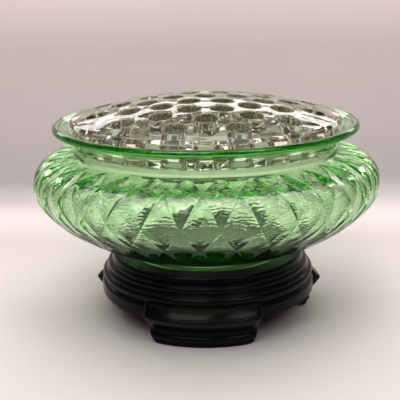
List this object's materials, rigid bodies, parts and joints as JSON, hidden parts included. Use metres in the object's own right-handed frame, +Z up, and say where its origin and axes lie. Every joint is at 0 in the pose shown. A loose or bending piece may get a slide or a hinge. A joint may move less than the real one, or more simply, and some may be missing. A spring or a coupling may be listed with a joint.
{
  "type": "flower frog",
  "caption": "Pierced clear glass dome that holds flower stems upright, seated in the neck of a squat green glass bowl on a stepped black glass plinth with three feet.",
  "frame": {"origin": "centre of the plinth's underside, on the table", "axes": "+Z up along the common axis of the plinth, the bowl and the frog; -Y towards the front foot"},
  "size_m": [0.22, 0.22, 0.1424],
  "materials": {
    "black_glass": "fire-polished opaque black glass",
    "green_glass": "transparent green pressed glass, faceted and fire-polished",
    "clear_glass": "transparent clear pressed glass with a faint warm grey tint"
  },
  "bodies": {
    "plinth": {"plinth": "black_glass"},
    "bowl": {"bowl": "green_glass"},
    "frog": {"frog": "clear_glass"}
  },
  "joints": [
    {"name": "bowl_lift", "type": "slide", "parent": "plinth", "child": "bowl", "axis": [0, 0, 1], "range_m": [0, 0.06]},
    {"name": "frog_lift", "type": "slide", "parent": "bowl", "child": "frog", "axis": [0, 0, 1], "range_m": [0, 0.06]}
  ]
}
